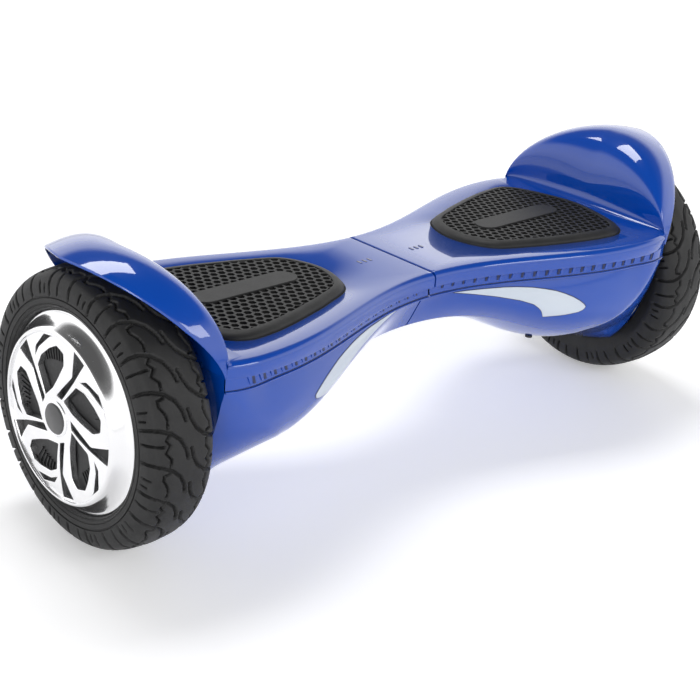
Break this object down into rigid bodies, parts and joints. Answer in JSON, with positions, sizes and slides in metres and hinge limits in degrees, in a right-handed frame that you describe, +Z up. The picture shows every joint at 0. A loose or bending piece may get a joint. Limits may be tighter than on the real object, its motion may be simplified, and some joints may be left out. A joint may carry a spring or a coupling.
{
  "type": "self balancing hoverboard",
  "caption": "Self balancing hoverboard: glossy casing halves that twist at a narrow waist, sprung ribbed foot pads, winged fenders and hub motor wheels with tyres.",
  "frame": {"origin": "on the floor, midway between the wheels", "axes": "+X along the board from the left wheel to the right wheel, -Y towards the side with the lights, +Z up"},
  "size_m": [0.6314, 0.2032, 0.2221],
  "materials": {
    "blue_casing": "high gloss clear coated royal blue",
    "black_trim": "matte black",
    "light_lens": "frosted pale blue-white",
    "indicator_lens": "clear window",
    "circuit_board": "green board with black parts",
    "pad_rubber": "matte charcoal rubber",
    "tyre_rubber": "matte dark grey rubber",
    "polished_rim": "polished",
    "silver_spokes": "bright silver plated plastic",
    "grey_cap": "dark grey gloss",
    "frame_steel": "black powder coated steel",
    "cast_aluminium": "cast, satin",
    "bright_steel": "ground",
    "dark_steel": "black oxide",
    "motor_steel": "laminated steel with copper windings",
    "magnet_metal": "nickel plated",
    "nylon": "natural nylon",
    "battery_wrap": "blue heat-shrink wrap over cells",
    "loom_rubber": "black flexible sleeve",
    "button_plastic": "silver grey"
  },
  "bodies": {
    "left_half": {"left_top_cover": "blue_casing", "left_bottom_cover": "blue_casing", "left_vent_bands": "blue_casing", "left_light_lens": "light_lens", "left_light_board": "circuit_board", "left_indicator_lenses": "indicator_lens", "left_switch_studs": "pad_rubber", "left_sensor_board": "circuit_board", "left_axle_clamp": "frame_steel", "left_clamp_screws": "dark_steel", "left_cover_screws": "dark_steel", "left_axle": "bright_steel", "left_stator": "motor_steel", "left_frame": "frame_steel", "pivot_tube": "cast_aluminium", "retaining_ring": "dark_steel", "stop_pin": "dark_steel", "main_board": "circuit_board", "wire_harness": "loom_rubber"},
    "right_half": {"right_top_cover": "blue_casing", "right_bottom_cover": "blue_casing", "right_vent_bands": "blue_casing", "right_light_lens": "light_lens", "right_light_board": "circuit_board", "right_indicator_lenses": "indicator_lens", "right_switch_studs": "pad_rubber", "right_sensor_board": "circuit_board", "right_axle_clamp": "frame_steel", "right_clamp_screws": "dark_steel", "right_cover_screws": "dark_steel", "right_axle": "bright_steel", "right_stator": "motor_steel", "right_frame": "frame_steel", "pivot_bushes": "nylon", "battery_pack": "battery_wrap", "battery_bracket": "cast_aluminium", "button_housing": "black_trim", "charging_socket": "black_trim"},
    "left_wheel": {"left_tyre": "tyre_rubber", "left_rim": "polished_rim", "left_spoke_cover": "silver_spokes", "left_hub_cap": "grey_cap", "left_motor_cover": "cast_aluminium", "left_motor_screws": "dark_steel", "left_bearings": "bright_steel", "left_magnets": "magnet_metal"},
    "right_wheel": {"right_tyre": "tyre_rubber", "right_rim": "polished_rim", "right_spoke_cover": "silver_spokes", "right_hub_cap": "grey_cap", "right_motor_cover": "cast_aluminium", "right_motor_screws": "dark_steel", "right_bearings": "bright_steel", "right_magnets": "magnet_metal"},
    "left_foot_pad": {"left_foot_pad": "pad_rubber"},
    "right_foot_pad": {"right_foot_pad": "pad_rubber"},
    "power_button": {"power_button": "button_plastic"},
    "charging_cap": {"charging_cap": "loom_rubber"}
  },
  "joints": [
    {"name": "centre_twist", "type": "hinge", "parent": "left_half", "child": "right_half", "pos_m": [0, 0, 0.129], "axis": [1, 0, 0], "range_deg": [-12, 12]},
    {"name": "left_wheel_spin", "type": "hinge", "parent": "left_half", "child": "left_wheel", "pos_m": [-0.2773, 0, 0.1016], "axis": [1, 0, 0], "continuous": true},
    {"name": "right_wheel_spin", "type": "hinge", "parent": "right_half", "child": "right_wheel", "pos_m": [0.2773, 0, 0.1016], "axis": [1, 0, 0], "continuous": true},
    {"name": "left_pad_press", "type": "slide", "parent": "left_half", "child": "left_foot_pad", "axis": [0, 0, -1], "range_m": [0, 0.0012], "stiffness_N_per_m": 8000, "springref_m": -0.0005},
    {"name": "right_pad_press", "type": "slide", "parent": "right_half", "child": "right_foot_pad", "axis": [0, 0, -1], "range_m": [0, 0.0012], "stiffness_N_per_m": 8000, "springref_m": -0.0005},
    {"name": "power_button_press", "type": "slide", "parent": "right_half", "child": "power_button", "axis": [0, -1, 0], "range_m": [0, 0.0015], "stiffness_N_per_m": 2000, "springref_m": -0.0005},
    {"name": "charging_cap_swing", "type": "hinge", "parent": "right_half", "child": "charging_cap", "pos_m": [0.132, 0.08144, 0.1314], "axis": [1, 0, 0], "range_deg": [0, 100]}
  ]
}
